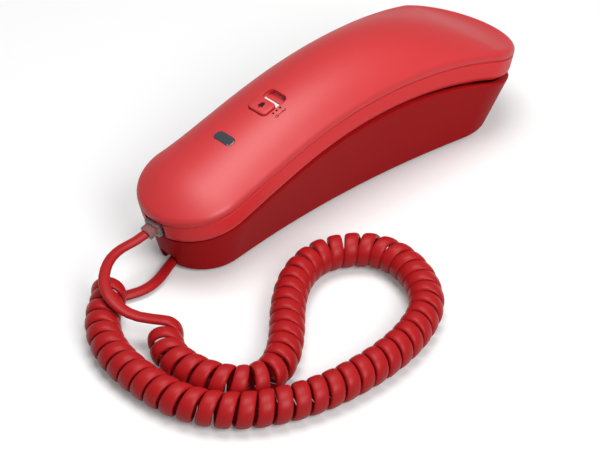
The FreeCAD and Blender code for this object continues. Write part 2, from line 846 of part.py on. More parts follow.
# Posts under the handset's board
board_posts = []
for side, x_sign in (("right", 1), ("left", -1)):
    for end, y_sign in (("near", -1), ("far", 1)):
        board_posts.append(pillar(f"board_post_{end}_{side}", key_frame, post_radius,
                                  board_level - parting_gap,
                                  x=x_sign * (handset_board_width / 2 - post_radius),
                                  y=y_sign * (handset_board_length / 2 - post_radius),
                                  z=parting_gap - post_radius))

back_form = common("back_form", handset_outer, above_seam)
back_hollow = cut("back_hollow", back_form, handset_hollow)
back_bossed = joined("back_bossed", back_hollow, *back_bosses)
keep("handset_back_shell", cut("handset_back_shell", back_bossed, lens_hole, switch_hole, *pilot_holes))
front_low = cut("front_low", handset_outer, above_groove)
front_high = cut("front_high", handset_groove, above_seam)
front_form = joined("front_form", front_low, front_high)
front_hollow = cut("front_hollow", front_form, handset_hollow)
inside_posts = common("inside_posts", joined("front_posts", *front_bosses, *board_posts), handset_groove)
front_bossed = joined("front_bossed", front_hollow, inside_posts)
keep("handset_front_shell", cut("handset_front_shell", front_bossed, socket_hole, ear_dish, *key_holes,
                                *ear_holes,
                                *mic_slots, *screw_holes))

# Base shell
# The flared hull is cut along the arch, with a trough that takes the keypad and the earpiece,
# and is open underneath. Four pads in the trough stop just short of the handset's face.
base_outer = base_form("base_outer", none, base_bevel)
above_rim = above_arch("above_rim", none)
above_trough = above_arch("above_trough", -trough_depth)
above_roof = above_arch("above_roof", -(trough_depth + base_wall))
base_low = cut("base_low", base_outer, above_rim)
trough = common("trough", base_form("trough_form", rim_width), above_trough)
base_hollow = cut("base_hollow", base_form("hollow_form", base_wall), above_roof)
pad_height = trough_depth + parting_gap - slide_clearance + base_wall / 2
rest_pads = []
for side, sign in (("right", 1), ("left", -1)):
    rest_pads.append(pillar(f"near_pad_{side}", near_frame, pad_radius, pad_height, x=sign * near_pad_x,
                            z=-trough_depth - base_wall / 2))
    rest_pads.append(pillar(f"far_pad_{side}", far_frame, pad_radius, pad_height, x=sign * far_pad_x,
                            y=far_pad_place, z=-trough_depth - base_wall / 2))

# Bottom cover: a plate inside the hull's lower edge, with a covered way to each socket
near_way_end = base_near_centre + near_way_reach
near_socket_end = base_near_centre - near_socket_inset
far_way_end = base_far_centre + far_way_reach
far_socket_end = base_far_centre + far_socket_inset
cover_top = foot_height + cover_thickness
cover_inset = base_wall + cover_clearance
cover_plate = new_body("cover_plate")
cover_plan = bone_sketch(cover_plate, "cover_plan", foot_height, base_near_radius - cover_inset,
                         base_near_centre,
                         base_far_radius - cover_inset, base_far_centre, base_waist_radius + cover_inset)
cover_pad = cover_plate.newObject("PartDesign::Pad", "cover_pad")
cover_pad.Profile = cover_plan
bind(cover_pad, "Length", cover_thickness)
near_way_length = near_way_end - near_socket_end
far_way_length = far_way_end - far_socket_end
way_spots = (("near", near_way_length, -near_socket_end - near_way_length / 2,
              -near_way_end - near_way_length / 2),
             ("far", far_way_length, far_socket_end + far_way_length / 2, far_way_end + far_way_length / 2))
cover_adds = []
cover_cuts = []
gates = []
for end, length, middle, gate_middle in way_spots:
    cover_adds.append(block(f"{end}_way_walls", ground, way_width + 2 * way_wall, length,
                            way_height + way_wall,
                            y=middle, z=foot_height))
    cover_cuts.append(block(f"{end}_way", ground, way_width, length + 2 * snug, way_height + foot_height,
                            y=middle))
    gates.append(block(f"{end}_gate", ground, cord_gate_width, length + 2 * base_wall,
                       cord_gate_height + foot_height, y=gate_middle))

# Screws, feet and the wall-hanging keyholes of the cover
base_screws = []
base_bosses = []
base_pilots = []
near_base_boss_y = near_base_boss_inset - base_near_centre
far_base_boss_y = base_far_centre - far_base_boss_inset
for end, boss_x, boss_y in (("near", near_base_boss_x, near_base_boss_y),
                            ("far", far_base_boss_x, far_base_boss_y)):
    for side, sign in (("right", 1), ("left", -1)):
        spot = dict(x=sign * boss_x, y=boss_y)
        tag = f"{end}_{side}"
        seat = foot_height + cover_seat
        boss_level = seat + boss_floor
        boss_rise = arch_level(number(boss_y)) - trough_depth - base_wall / 2 - boss_level
        cover_adds.append(pillar(f"cover_boss_{tag}", ground, boss_radius, boss_level - foot_height,
                                 z=foot_height, **spot))
        cover_cuts.append(pillar(f"cover_well_{tag}", ground, screw_head_radius + screw_clearance, seat,
                                 **spot))
        cover_cuts.append(pillar(f"cover_hole_{tag}", ground, screw_radius + screw_clearance,
                                 2 * boss_level, **spot))
        base_bosses.append(pillar(f"base_boss_{tag}", ground, screw_radius + boss_wall, boss_rise - snug,
                                  z=boss_level + snug, **spot))
        base_pilots.append(pillar(f"base_pilot_{tag}", ground, screw_radius + snug, screw_length, z=seat,
                                  **spot))
        head = pillar(f"base_screw_head_{tag}", ground, screw_head_radius, screw_head_height,
                      z=seat - screw_head_height, **spot)
        shank = pillar(f"base_screw_shank_{tag}", ground, screw_radius, screw_length - snug, z=seat, **spot)
        base_screws.append(joined(f"base_screw_{tag}", head, shank))
keep("base_screws", group("base_screws", *base_screws))
near_foot_y = near_foot_inset - base_near_centre
far_foot_y = base_far_centre + far_foot_reach
feet = []
for end, foot_x, foot_y in (("near", near_foot_x, near_foot_y), ("far", far_foot_x, far_foot_y)):
    for side, sign in (("right", 1), ("left", -1)):
        spot = dict(x=sign * foot_x, y=foot_y)
        foot_rise = foot_height + foot_seat
        feet.append(pillar(f"foot_{end}_{side}", ground, foot_radius, foot_rise, **spot))
        cover_cuts.append(pillar(f"foot_seat_{end}_{side}", ground, foot_radius + snug, foot_rise, **spot))
keep("rubber_feet", group("rubber_feet", *feet))
for end, sign in (("near", -1), ("far", 1)):
    hole_y = keyhole_middle + sign * keyhole_pitch / 2
    cover_cuts.append(pillar(f"keyhole_head_{end}", ground, keyhole_head, 2 * cover_top, y=hole_y))
    cover_cuts.append(block(f"keyhole_slot_{end}", ground, keyhole_slot, keyhole_run, 2 * cover_top,
                            y=hole_y + keyhole_run / 2))
    cover_cuts.append(pillar(f"keyhole_end_{end}", ground, keyhole_slot / 2, 2 * cover_top,
                             y=hole_y + keyhole_run))

# Base electronics: sockets, board, hook switch and a steel weight
cord_socket("base_cord_socket", ground, -near_socket_end, cover_top)
cord_plug("base_plug", ground, -near_socket_end, cover_top)
line_shell = block("line_shell", ground, line_socket_width, socket_length, socket_height,
                   y=far_socket_end - socket_length / 2, z=cover_top)
line_mouth = block("line_mouth", ground, line_mouth_width, line_mouth_depth, line_mouth_height,
                   y=far_socket_end - line_mouth_depth / 2, z=cover_top + socket_wall)
keep("line_socket", cut("line_socket", line_shell, line_mouth))
keep("base_circuit_board", tablet("base_circuit_board", ground, base_board_width, base_board_length,
                                  board_thickness,
                                  board_round, y=base_board_middle, z=base_board_level))
for side, x_sign in (("right", 1), ("left", -1)):
    for end, y_sign in (("near", -1), ("far", 1)):
        cover_adds.append(pillar(f"base_post_{end}_{side}", ground, post_radius,
                                 base_board_level - foot_height,
                                 x=x_sign * (base_board_width / 2 - post_radius),
                                 y=base_board_middle + y_sign * (base_board_length / 2 - post_radius),
                                 z=foot_height))
keep("steel_weight", tablet("steel_weight", ground, weight_width, weight_length, weight_height, board_round,
                            y=weight_middle, z=cover_top))

# Hook: a plunger through the trough's floor that the handset's face holds down
hook_frame = Placement(Vector(0, frame_on_arch(hook_angle).Base.y, 0), Rotation())
above_hook = above_arch("above_hook", parting_gap - slide_clearance)
hook_stem = tablet("hook_stem", hook_frame, hook_width, hook_length, flare_height - hook_foot_level,
                   hook_round,
                   z=hook_foot_level)
hook_base = tablet("hook_base", hook_frame, hook_width + 2 * hook_foot_lip, hook_length + 2 * hook_foot_lip,
                   hook_foot, hook_round, z=hook_foot_level)
hook_trimmed = cut("hook_trimmed", hook_stem, above_hook)
keep("hook_plunger", joined("hook_plunger", hook_trimmed, hook_base))
hook_hole = tablet("hook_hole", hook_frame, hook_width + 2 * slide_clearance,
                   hook_length + 2 * slide_clearance,
                   flare_height, hook_round + slide_clearance)
base_board_top = base_board_level + board_thickness
hook_box = block("hook_box", hook_frame, switch_body_width, switch_body_length, switch_body_height,
                 z=base_board_top)
hook_nub = pillar("hook_nub", hook_frame, switch_nub, hook_foot_level - slide_clearance - base_board_top,
                  z=base_board_top)
keep("hook_switch", joined("hook_switch", hook_box, hook_nub))

base_trough = cut("base_trough", base_low, trough, base_hollow)
base_padded = joined("base_padded", base_trough, *rest_pads, *base_bosses)
keep("base_shell", cut("base_shell", base_padded, hook_hole, *gates, *base_pilots))
cover_full = joined("cover_full", cover_plate, *cover_adds)
keep("base_bottom_cover", cut("base_bottom_cover", cover_full, *cover_cuts, *gates))


# Wound and lying wire
# A biarc joins two points with their directions by two arcs, so a helix or a lying lead is a
# smooth chain of arcs.

def arc_from(start, direction, end):
    """The arc that leaves a start in a direction and ends at a point."""
    chord = end - start
    across = chord - direction * chord.dot(direction)
    if across.Length < 1e-6:
        return Part.LineSegment(start, end).toShape()
    across.normalize()
    radius = chord.Length ** 2 / (2 * chord.dot(across))
    centre = start + across * radius
    turn = math.atan2(chord.dot(direction), radius - chord.dot(across))
    middle = centre + direction * (radius * math.sin(turn / 2)) - across * (radius * math.cos(turn / 2))
    return Part.Arc(start, middle, end).toShape()


def biarc(start, start_way, end, end_way):
    gap = end - start
    both = start_way + end_way
    spread = 2 * (1 - start_way.dot(end_way))
    reach = gap.dot(both)
    if spread < 1e-9:
        step = gap.dot(gap) / (4 * gap.dot(end_way))
    else:
        step = (math.sqrt(reach ** 2 + spread * gap.dot(gap)) - reach) / spread
    joint = (start + start_way * step + end - end_way * step) * 0.5
    across = (end - end_way * step) - (start + start_way * step)
    across.normalize()
    return [arc_from(start, start_way, joint), arc_from(joint, across, end)]


def swept(edges, diameter, sides):
    """A tube of flat-sided section along a chain of edges."""
    path = Part.Wire(edges)
    first = edges[0]
    origin = first.valueAt(first.FirstParameter)
    way = first.tangentAt(first.FirstParameter)
    turn = Rotation(Vector(0, 0, 1), way)
    corners = []
    for step in range(sides + 1):
        angle = 2 * math.pi * (step + 0.5) / sides
        corner = Vector(math.cos(angle), math.sin(angle), 0) * (diameter / 2)
        corners.append(origin + turn.multVec(corner))
    section = Part.makePolygon(corners)
    shell = Part.BRepOffsetAPI.MakePipeShell(path)
    shell.add(section)
    shell.build()
    shell.makeSolid()
    return shell.shape(), path.Length


def rounded_route(points):
    """Straight runs joined by arcs as large as the shorter run beside each point allows."""
    edges = []
    radii = []
    last = points[0]
    for before, point, after in zip(points, points[1:], points[2:]):
        arriving = (point - before)
        leaving = (after - point)
        trim = 0.45 * min(arriving.Length, leaving.Length)
        turn = arriving.getAngle(leaving)
        radii.append(trim / math.tan(turn / 2))
        arriving.normalize()
        leaving.normalize()
        start = point - arriving * trim
        end = point + leaving * trim
        edges.append(Part.LineSegment(last, start).toShape())
        edges.append(arc_from(start, arriving, end))
        last = end
    edges.append(Part.LineSegment(last, points[-1]).toShape())
    return edges, radii


def smooth_axis(points):
    """The quadratic spline that a list of points steers."""
    inner = len(points) - 2
    knots = list(range(inner + 1))
    counts = [3] + [1] * (inner - 1) + [3]
    curve = Part.BSplineCurve()
    curve.buildFromPolesMultsKnots(points, counts, knots, False, 2)
    return curve


def helix_point(axis, length, turns, radius, step, start_turn):
    """A point on a left-handed helix round an axis, at a share of its length."""
    share = min(max(step, 0.0), 1.0)
    at = axis.parameterAtDistance(share * length, axis.FirstParameter)
    middle = axis.value(at)
    way = axis.tangent(at)[0]
    left = Vector(0, 0, 1).cross(way)
    up = Vector(0, 0, 1)
    if left.Length < 0.5:
        left = Vector(0, 1, 0)
        up = Vector(1, 0, 0)
    left.normalize()
    turn = 2 * math.pi * (share * turns + start_turn)
    return middle + up * (radius * math.cos(turn)) + left * (radius * math.sin(turn))


def helix(axis, turns, radius, start_turn, tail):
    """Half-turn biarcs along a helix, with a straight tail at each end, and its points."""
    length = axis.length()
    halves = round(2 * turns)
    small = 0.002 / turns
    points = []
    ways = []
    for step in range(halves + 1):
        share = step / halves
        points.append(helix_point(axis, length, turns, radius, share, start_turn))
        ahead = helix_point(axis, length, turns, radius, share + small, start_turn)
        behind = helix_point(axis, length, turns, radius, share - small, start_turn)
        ways.append((ahead - behind).normalize())
    edges = [Part.LineSegment(points[0] - ways[0] * tail, points[0]).toShape()]
    for step in range(halves):
        edges += biarc(points[step], ways[step], points[step + 1], ways[step + 1])
    edges.append(Part.LineSegment(points[-1], points[-1] + ways[-1] * tail).toShape())
    return edges


def least_gap(edges, diameter, per_edge=6):
    """The smallest clear space between parts of a wire more than half a turn apart."""
    points = []
    for edge in edges:
        span = edge.LastParameter - edge.FirstParameter
        points += [edge.valueAt(edge.FirstParameter + span * step / per_edge) for step in range(per_edge)]
    least = 1e9
    apart = 3 * per_edge
    for index, point in enumerate(points):
        for other in points[index + apart:]:
            least = min(least,
                        (point.x - other.x) ** 2 + (point.y - other.y) ** 2 + (point.z - other.z) ** 2)
    return math.sqrt(least) - diameter


def wire_part(name, edges, diameter, sides):
    shape, length = swept(edges, diameter, sides)
    section = sides / 2 * math.sin(2 * math.pi / sides) * (diameter / 2) ** 2
    print(name, "length", round(length, 1), "volume over section times length",
          round(shape.Volume / (section * length), 3))
    item = doc.addObject("Part::Feature", name)
    item.Shape = shape
    return keep(name, item)


# The hook's spring
wire_sides = 5
lead_sides = 8
spring_y = hook_frame.Base.y
spring_low = number(base_board_top + spring_wire / 2 + spring_clearance)
spring_high = number(hook_foot_level - spring_wire / 2 - 3 * spring_clearance)
spring_axis = smooth_axis([Vector(0, spring_y, spring_low), Vector(0, spring_y,
                                                                   (spring_low + spring_high) / 2),
                           Vector(0, spring_y, spring_high)])
spring_edges = helix(spring_axis, number(spring_turns), number(spring_radius), 0.0, number(spring_wire))
print("hook spring least gap", round(least_gap(spring_edges, number(spring_wire)), 2))
wire_part("hook_spring", spring_edges, number(spring_wire), wire_sides)

# The curly cord
# Two leads and the curls between them lie on the surface in front of the phone. The upper lead
# leaves the handset's plug, crosses over the last curls and turns into the first one.
curl_level = number(curl_diameter / 2 + curl_rise)
curl_route = [(39, -132), (46, -138.5), (56, -141), (67, -139.8), (77, -136.2), (84.8, -129.6),
              (87, -119.6),
              (82.2, -108.6), (72.6, -97.2), (60.6, -85.6), (50, -71), (46, -55.5), (51, -42.5), (60,
                                                                                                  -33.5),
              (72.5, -31), (87, -35), (100.5, -44.5), (108, -61), (111, -78), (110.8, -94.5), (109, -110),
              (104, -126), (96.3, -139.5), (86.5, -149), (73.5, -155.5), (57, -157.5), (40, -156.7),
              (27.5, -153), (17.5, -147), (10.5, -139.8), (7, -134.2), (2, -130.5)]
curl_axis = smooth_axis([Vector(x, y, curl_level) for x, y in curl_route])
curl_radius = (number(curl_diameter) - number(cord_diameter)) / 2
curl_edges = helix(curl_axis, number(curl_turns), curl_radius, 0.0, number(cord_diameter))
curl_gap = least_gap(curl_edges, number(cord_diameter))
print("curls along", round(curl_axis.length(), 1), "least gap", round(curl_gap, 2))
wire_part("cord_curls", curl_edges, number(cord_diameter), wire_sides)
first_edge, last_edge = curl_edges[0], curl_edges[-1]
curls_start = first_edge.valueAt(first_edge.FirstParameter)
curls_end = last_edge.valueAt(last_edge.LastParameter)
upper_route = [(0, -108.4, 22.5), (-0.3, -113.6, 21.2), (-1.6, -119.8, 20.6), (-0.3, -126.6, 20.2),
               (3.6, -133, 19.6), (9.4, -138.6, 18.9), (16.4, -141.8, 17.8), (23.4, -141.6, 15.6),
               (29.6, -138.4, 13.2)]
lower_route = [(6, -121.9, 2.1), (7.5, -116.6, 2.1), (7.2, -111, 2.1), (5.6, -105.6, 2.1),
               (3.2, -100.2, 2.3),
               (1.3, -94.6, 2.8), (0.3, -89.4, 4.0), (0, -85.2, 5.6), (0, -81.8, 6.7), (0, -78.7, 7.05)]
upper_edges, upper_radii = rounded_route([Vector(*point) for point in upper_route] + [curls_start])
lower_edges, lower_radii = rounded_route([curls_end] + [Vector(*point) for point in lower_route])
print("upper lead radii", [round(radius, 1) for radius in upper_radii])
print("lower lead radii", [round(radius, 1) for radius in lower_radii])
wire_part("cord_handset_lead", upper_edges, number(cord_diameter), lead_sides)
wire_part("cord_base_lead", lower_edges, number(cord_diameter), lead_sides)

# Every feature has to be sound before the sub-parts are written
doc.recompute()
for item in doc.Objects:
    if "Invalid" in item.State or "Error" in item.State:
        raise RuntimeError(f"{item.Name} is not sound: {item.State}")
for name, item in parts.items():
    if item.Shape.isNull() or not item.Shape.isValid() or not item.Shape.Solids:
        raise RuntimeError(f"{name} has no sound solid")
os.makedirs("parts", exist_ok=True)
for name, item in parts.items():
    item.Shape.exportStep(f"parts/{name}.step")
print(len(parts), "sub-parts written")
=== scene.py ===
import bpy
import json
import math
from mathutils import Matrix, Vector, kdtree


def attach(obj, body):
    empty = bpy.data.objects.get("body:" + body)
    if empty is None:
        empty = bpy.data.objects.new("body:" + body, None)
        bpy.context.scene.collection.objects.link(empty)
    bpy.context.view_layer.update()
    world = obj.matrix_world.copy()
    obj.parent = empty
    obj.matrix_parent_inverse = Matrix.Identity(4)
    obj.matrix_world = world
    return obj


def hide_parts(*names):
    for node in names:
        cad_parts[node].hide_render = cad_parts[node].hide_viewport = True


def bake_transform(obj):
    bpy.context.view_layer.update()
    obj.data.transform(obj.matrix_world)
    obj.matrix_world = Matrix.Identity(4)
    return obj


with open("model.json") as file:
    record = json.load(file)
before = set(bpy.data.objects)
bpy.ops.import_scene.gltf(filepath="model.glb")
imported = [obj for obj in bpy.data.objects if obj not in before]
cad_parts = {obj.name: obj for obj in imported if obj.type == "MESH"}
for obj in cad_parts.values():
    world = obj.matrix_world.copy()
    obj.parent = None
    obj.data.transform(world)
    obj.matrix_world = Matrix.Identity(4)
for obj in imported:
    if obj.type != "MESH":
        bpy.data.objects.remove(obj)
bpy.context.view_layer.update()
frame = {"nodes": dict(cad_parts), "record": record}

# Moulded shells
# Handset and base are injection-moulded in one satin red plastic with a very fine spark-eroded
# skin. The copies of the CAD shells are welded so that their curved faces shade smoothly. The
# handset's front band takes a lighter copy of the red, as painted light where the side light falls,
# and the base takes a darker copy, as painted shade on its downward-facing sides.


class Value:
    """A number or colour in a material's node tree. Sums and products add its maths nodes."""

    def __init__(self, tree, socket):
        self.tree = tree
        self.socket = socket

    def maths(self, operation, first, second):
        node = self.tree.nodes.new("ShaderNodeMath")
        node.operation = operation
        for slot, value in zip(node.inputs, (first, second)):
            if isinstance(value, Value):
                self.tree.links.new(value.socket, slot)
            else:
                slot.default_value = value
        return Value(self.tree, node.outputs[0])

    def __add__(self, other):
        return self.maths("ADD", self, other)

    def __radd__(self, other):
        return self.maths("ADD", other, self)

    def __sub__(self, other):
        return self.maths("SUBTRACT", self, other)

    def __rsub__(self, other):
        return self.maths("SUBTRACT", other, self)

    def __mul__(self, other):
        return self.maths("MULTIPLY", self, other)

    def __rmul__(self, other):
        return self.maths("MULTIPLY", other, self)


class Finish:
    """A material and its principled shader, with one method that adds any other node."""

    def __init__(self, name, **plain):
        self.material = bpy.data.materials.new(name)
        self.material.use_nodes = True
        self.tree = self.material.node_tree
        self.shader = self.tree.nodes["Principled BSDF"]
        for socket, value in plain.items():
            self.shader.inputs[socket.replace("_", " ")].default_value = value

    def node(self, kind, settings=None, output=0, **inputs):
        """Add a node: its settings first, then values or links for the sockets named."""
        node = self.tree.nodes.new(kind)
        for setting, value in (settings or {}).items():
            setattr(node, setting, value)
        for socket, value in inputs.items():
            self.feed(node.inputs[socket.replace("_", " ")], value)
        return Value(self.tree, node.outputs[output])

    def feed(self, socket, value):
        if isinstance(value, Value):
            self.tree.links.new(value.socket, socket)
        else:
            socket.default_value = value

    def place(self):
        return self.node("ShaderNodeTexCoord", output="Object")

    def noise(self, size, detail=2.0):
        """Cloudy noise with patches of about a size in metres."""
        return self.node("ShaderNodeTexNoise", output="Fac", Vector=self.place(), Scale=1 / size,
                         Detail=detail)

    def mixed(self, share, first, second):
        node = self.tree.nodes.new("ShaderNodeMix")
        node.data_type = "RGBA"
        self.feed(node.inputs[0], share)
        self.feed(node.inputs[6], first)
        self.feed(node.inputs[7], second)
        return Value(self.tree, node.outputs[2])

    def bump(self, height, strength, distance, edge=0.0):
        """A fine relief, over edges that look rounded to a radius where one is given."""
        skin = self.node("ShaderNodeBump", Height=height, Strength=strength, Distance=distance)
        if edge:
            rounded = self.node("ShaderNodeBevel", {"samples": 6}, Radius=edge)
            self.feed(skin.socket.node.inputs["Normal"], rounded)
        self.feed(self.shader.inputs["Normal"], skin)

    def set(self, **linked):
        for socket, value in linked.items():
            self.feed(self.shader.inputs[socket.replace("_", " ")], value)


def satin_plastic(name, deep, light, roughness, grain=0.00035, edge=0.0, **plain):
    """Moulded plastic: two close tones in large soft clouds, over a fine eroded skin."""
    finish = Finish(name, **plain)
    cloud = finish.noise(0.06)
    skin = finish.noise(grain, detail=3.0)
    finish.set(Base_Color=finish.mixed(cloud, deep, light), Roughness=roughness + 0.08 * (skin - 0.5))
    finish.bump(skin, 0.12, 0.00005, edge)
    return finish


slot_of = {part["node"]: part["material_slot"] for part in frame["record"]["subparts"]}
carrier = {}
for body, nodes in frame["record"]["behaviour"]["bodies"].items():
    for node in nodes:
        carrier[node] = body


weld_distance = 0.000002
skin_distance = 0.35
skin_facing = 0.85
slope_step = 0.02


def deselect():
    bpy.ops.object.select_all(action="DESELECT")


def only(piece):
    deselect()
    piece.select_set(True)
    bpy.context.view_layer.objects.active = piece
    return piece


def welded(node, finish, edge=0.0, sharp=35, form=None, drop=None):
    """A welded copy of a CAD node with softened edges, in the node's place and on its body. Where
    it lies on a form, given as the distance out of it in millimetres, it takes the form's normals;
    a drop, in millimetres along the arch's own up, draws its places down."""
    source = frame["nodes"][node]
    piece = bpy.data.objects.new(f"{node}_skin", source.data.copy())
    bpy.context.collection.objects.link(piece)
    only(piece)
    bpy.ops.object.mode_set(mode="EDIT")
    bpy.ops.mesh.select_all(action="SELECT")
    bpy.ops.mesh.remove_doubles(threshold=weld_distance)
    bpy.ops.object.mode_set(mode="OBJECT")
    if piece.data.has_custom_normals:
        bpy.ops.mesh.customdata_custom_splitnormals_clear()
    if edge:
        soften = piece.modifiers.new("soften", "BEVEL")
        soften.width = edge
        soften.segments = 2
        soften.angle_limit = math.radians(sharp)
        bpy.ops.object.modifier_apply(modifier="soften")
    bpy.ops.object.shade_smooth_by_angle(angle=math.radians(sharp))
    if drop:
        for vertex in piece.data.vertices:
            x, y, z = vertex.co * 1000
            lean = max(arch_lean(y, z), -math.radians(far_angle))
            vertex.co += Vector((0, math.sin(lean), -math.cos(lean))) * drop(x, y, z) * 0.001
    if form:
        take_normals(piece.data, form)
    piece.data.materials.clear()
    piece.data.materials.append(finish.material)
    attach(piece, carrier[node])
    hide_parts(node)
    return piece


def form_slope(form, x, y, z):
    """The direction straight out of a form at a place in millimetres."""
    return Vector((form(x + slope_step, y, z) - form(x - slope_step, y, z),
                   form(x, y + slope_step, z) - form(x, y - slope_step, z),
                   form(x, y, z + slope_step) - form(x, y, z - slope_step))).normalized()


def take_normals(mesh, form):
    """Shade the faces that lie on a form with the form's own slope."""
    slopes = []
    for vertex in mesh.vertices:
        place = vertex.co * 1000
        on_form = abs(form(*place)) <= skin_distance
        slopes.append(form_slope(form, *place) if on_form else None)
    normals = [corner.vector.copy() for corner in mesh.corner_normals]
    for face in mesh.polygons:
        skin = all(slopes[vertex] for vertex in face.vertices)
        for loop in face.loop_indices:
            slope = slopes[mesh.loops[loop].vertex_index]
            if skin or slope and slope.dot(face.normal) > skin_facing:
                normals[loop] = slope
    mesh.normals_split_custom_set(normals)


def arch_lean(y, z):
    """The angle along the arch of a place, which is positive to the mouthpiece end."""
    return math.atan2(arch_crest - y, z - arch_height + arch_radius)


def handset_shape(x, y, z):
    """How far a place in millimetres lies outside the handset's whole form: along the arch its
    section has a round-cornered face, upright sides, soft shoulders and a crowned back."""
    lean = arch_lean(y, z)
    near = math.radians(near_angle)
    far = math.radians(far_angle)
    across = abs(x)
    if lean > near:
        y += arch_radius * math.sin(near) - arch_crest
        z += arch_radius * (1 - math.cos(near)) - arch_height
        along = -y * math.cos(near) - z * math.sin(near)
        high = z * math.cos(near) - y * math.sin(near)
        across = math.hypot(x, max(along - near_limb, 0))
        share = min(along, near_limb)
        wide = waist_half_width + (near_radius - waist_half_width) * share / near_limb
        run = (share + arch_radius * near) / (near_limb + arch_radius * near)
        crown = middle_crown - (middle_crown - near_crown) * run ** 2
    elif lean < -far:
        y -= arch_crest + arch_radius * math.sin(far)
        z += arch_radius * (1 - math.cos(far)) - arch_height
        high = z * math.cos(far) + y * math.sin(far)
        across = math.hypot(x, y * math.cos(far) - z * math.sin(far))
        wide = far_radius
        crown = far_crown
    else:
        high = math.hypot(y - arch_crest, z - arch_height + arch_radius) - arch_radius
        run = (near - lean) / (near + far)
        wide = waist_half_width + (far_radius - waist_half_width) * run ** 2
        if lean > 0:
            run = arch_radius * lean / (near_limb + arch_radius * near)
            crown = middle_crown - (middle_crown - near_crown) * run ** 2
        else:
            crown = middle_crown - (middle_crown - far_crown) * (lean / far) ** 2
    corner_level = parting_gap + corner_round
    if high < corner_level:
        corner_across = across - wide + corner_round
        if corner_across < 0:
            return parting_gap - high
        return math.hypot(corner_across, high - corner_level) - corner_round
    if high < band_height:
        return across - wide
    inner = wide - shoulder_round
    back = (inner ** 2 + crown ** 2 - shoulder_round ** 2) / (2 * (crown - shoulder_round))
    rise = high - band_height - crown + back
    if across * (back - crown) < rise * inner:
        return math.hypot(across, rise) - back
    return math.hypot(across - inner, high - band_height) - shoulder_round


def far_drop(x, y, z):
    """How far the back is drawn down at the earpiece end, so that its crown runs out softly."""
    far = math.radians(far_angle)
    lean = arch_lean(y, z)
    if lean > -fall_begins * far:
        return 0.0
    if lean > -far:
        high = math.hypot(y - arch_crest, z - arch_height + arch_radius) - arch_radius
        past = 0.0
        share = min((-lean / far - fall_begins) / (1 - fall_begins), 1.0)
        near = math.radians(near_angle)
        run = (near - lean) / (near + far)
        across = abs(x) / (waist_half_width + (far_radius - waist_half_width) * run ** 2)
    else:
        y -= arch_crest + arch_radius * math.sin(far)
        z += arch_radius * (1 - math.cos(far)) - arch_height
        high = z * math.cos(far) + y * math.sin(far)
        past = y * math.cos(far) - z * math.sin(far)
        share = 1.0
        across = math.hypot(x, past) / far_radius
    across = min(across, 1.0)
    share = share * share * (3 - 2 * share)
    level = min(max((high - band_height) / fall_blend, 0.0), 1.0)
    level = level * level * (3 - 2 * level)
    fall = far_fall * past * (1 - past / (2 * far_radius)) * (1 - across ** 4)
    return level * (fall + share * side_fall * across ** 2 * (1 - across ** 8))


def soft_back(x, y, z):
    """The handset's form with its far end drawn down."""
    drop = far_drop(x, y, z)
    lean = max(arch_lean(y, z), -math.radians(far_angle))
    return handset_shape(x, y - math.sin(lean) * drop, z + math.cos(lean) * drop)


def base_shape(x, y, z):
    """How far a place in millimetres lies outside the base's flared hull, whose outline has two
    round ends and two hollow waists at each level."""
    share = (z - base_low) / (flare_height - base_low)
    near = base_near_radius + (rim_near_radius - base_near_radius) * share
    far = base_far_radius + (rim_far_radius - base_far_radius) * share
    waist = base_waist_radius + (rim_waist_radius - base_waist_radius) * share
    far_y = base_far_centre + rim_far_lean * share
    span = far_y + base_near_centre
    run = ((near + waist) ** 2 - (far + waist) ** 2 + span ** 2) / (2 * span)
    out = math.sqrt((near + waist) ** 2 - run ** 2)
    across = abs(x)
    along = y + base_near_centre
    if along * out < run * across:
        return math.hypot(across, along) - near
    if (along - span) * out > (run - span) * across:
        return math.hypot(across, along - span) - far
    return waist - math.hypot(across - out, along - run)


arch_height = 38.6
arch_crest = 9.88
arch_radius = 200.0
near_angle = 14.0
far_angle = 18.0
near_limb = 40.0
near_radius = 25.0
waist_half_width = 24.0
far_radius = 30.5
parting_gap = 0.6
band_height = 11.4
corner_round = 4.0
shoulder_round = 4.2
near_crown = 10.0
middle_crown = 11.6
far_crown = 5.1
fall_begins = 0.35
fall_blend = 3.0
far_fall = 0.17
side_fall = 1.1
base_low = 2.2
base_near_radius = 19.0
base_far_radius = 25.2
base_waist_radius = 470.0
flare_height = 44.0
rim_near_radius = 29.1
rim_far_radius = 35.6
rim_far_lean = 12.0
rim_waist_radius = 430.0
base_near_centre = 77.016
base_far_centre = 65.483


red = satin_plastic("satin_red", (0.56, 0.018, 0.022, 1), (0.62, 0.025, 0.030, 1), 0.46,
                    edge=0.0005, Specular_IOR_Level=0.75)
# A lighter copy of the same red: painted light on the front shell's band, which faces the light at the
# right.
painted_light_front_red = satin_plastic("satin_red_front_painted_light", (0.76, 0.030, 0.035, 1), (0.82, 0.037, 0.042, 1), 0.44,
                          edge=0.0006, Specular_IOR_Level=0.25)
# A darker copy of the same red: painted shade on the base's sides and bottom cover, which face down,
# away from the lights.
painted_shade_base_red = satin_plastic("satin_red_base_painted_shade", (0.40, 0.009, 0.011, 1), (0.45, 0.012, 0.014, 1), 0.46,
                         edge=0.0010, Specular_IOR_Level=0.04)
welded("handset_back_shell", red, form=soft_back, drop=far_drop)
welded("handset_front_shell", painted_light_front_red, form=handset_shape)
welded("base_shell", painted_shade_base_red, form=base_shape)
welded("base_bottom_cover", painted_shade_base_red)
welded("hook_plunger", red)

